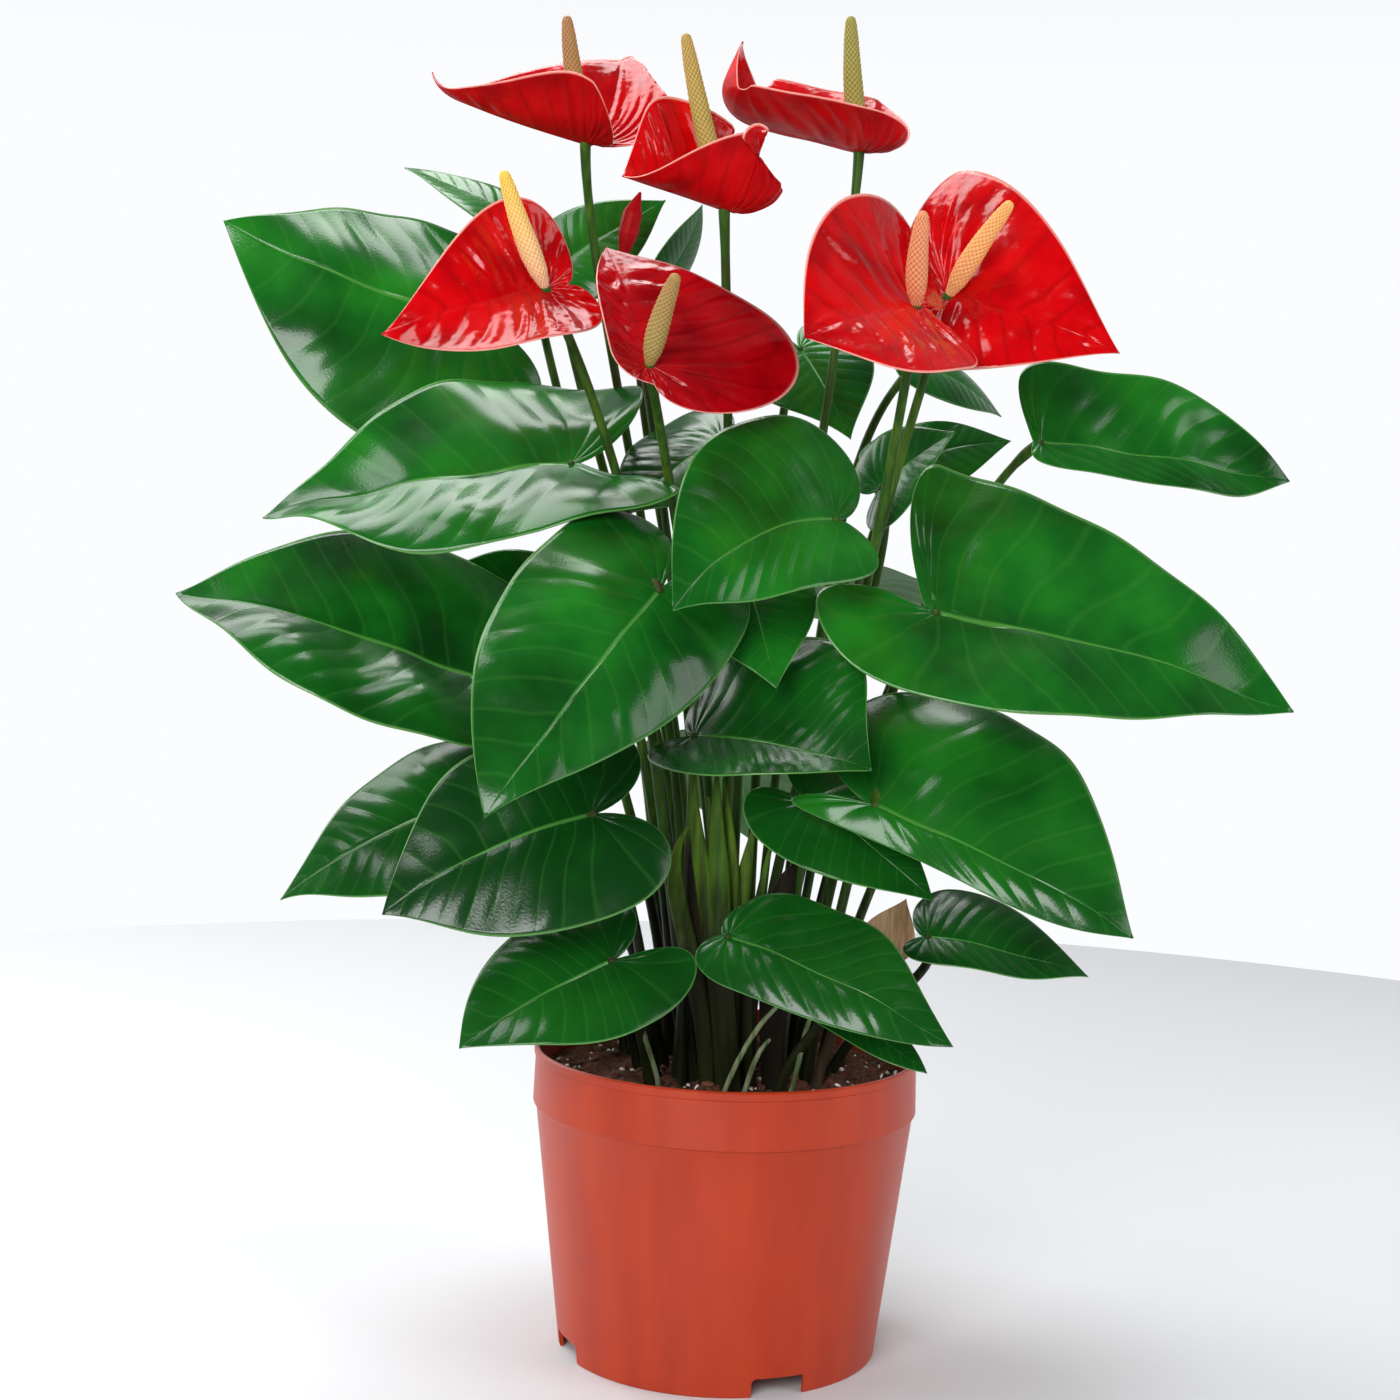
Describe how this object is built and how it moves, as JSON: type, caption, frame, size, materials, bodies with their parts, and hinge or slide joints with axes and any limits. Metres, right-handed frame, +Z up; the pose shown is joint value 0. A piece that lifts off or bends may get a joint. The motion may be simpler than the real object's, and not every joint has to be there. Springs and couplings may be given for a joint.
{
  "type": "potted anthurium",
  "caption": "Flowering anthurium houseplant with glossy heart-shaped leaves and red spathes, growing in a round plastic nursery pot.",
  "frame": {"origin": "on the pot's axis, in the plane of the face that the pot stands on", "axes": "+Z up along the pot's axis; the side that the picture shows faces -Y, and +X is to the right in the picture"},
  "size_m": [0.4892, 0.3207, 0.5873],
  "materials": {
    "leaf_green": "gloss",
    "spathe_red": "gloss",
    "spadix_yellow": "matte",
    "stem_green": "satin",
    "shoot_green": "satin",
    "sheath_brown": "matte",
    "pot_terracotta": "satin",
    "soil_brown": "matte"
  },
  "bodies": {
    "root": {"leaf_01": "leaf_green", "leaf_02": "leaf_green", "leaf_03": "leaf_green", "leaf_04": "leaf_green", "leaf_05": "leaf_green", "leaf_06": "leaf_green", "leaf_07": "leaf_green", "leaf_08": "leaf_green", "leaf_09": "leaf_green", "leaf_10": "leaf_green", "leaf_11": "leaf_green", "leaf_12": "leaf_green", "leaf_13": "leaf_green", "leaf_14": "leaf_green", "leaf_15": "leaf_green", "leaf_16": "leaf_green", "leaf_17": "leaf_green", "leaf_18": "leaf_green", "leaf_19": "leaf_green", "leaf_20": "leaf_green", "leaf_21": "leaf_green", "leaf_22": "leaf_green", "leaf_23": "leaf_green", "leaf_24": "leaf_green", "leaf_25": "leaf_green", "leaf_26": "leaf_green", "leaf_27": "leaf_green", "leaf_28": "leaf_green", "leaf_29": "leaf_green", "leaf_30": "leaf_green", "leaf_31": "leaf_green", "bloom_1_spathe": "spathe_red", "bloom_1_spadix": "spadix_yellow", "bloom_1_stem": "stem_green", "bloom_2_spathe": "spathe_red", "bloom_2_spadix": "spadix_yellow", "bloom_2_stem": "stem_green", "bloom_3_spathe": "spathe_red", "bloom_3_spadix": "spadix_yellow", "bloom_3_stem": "stem_green", "bloom_4_spathe": "spathe_red", "bloom_4_spadix": "spadix_yellow", "bloom_4_stem": "stem_green", "bloom_5_spathe": "spathe_red", "bloom_5_spadix": "spadix_yellow", "bloom_5_stem": "stem_green", "bloom_6_spathe": "spathe_red", "bloom_6_spadix": "spadix_yellow", "bloom_6_stem": "stem_green", "bloom_7_spathe": "spathe_red", "bloom_7_spadix": "spadix_yellow", "bloom_7_stem": "stem_green", "bud_spathe": "spathe_red", "bud_stem": "stem_green", "shoot_1": "shoot_green", "shoot_2": "shoot_green", "sheath_dry": "sheath_brown", "pot": "pot_terracotta", "soil": "soil_brown"}
  },
  "joints": []
}
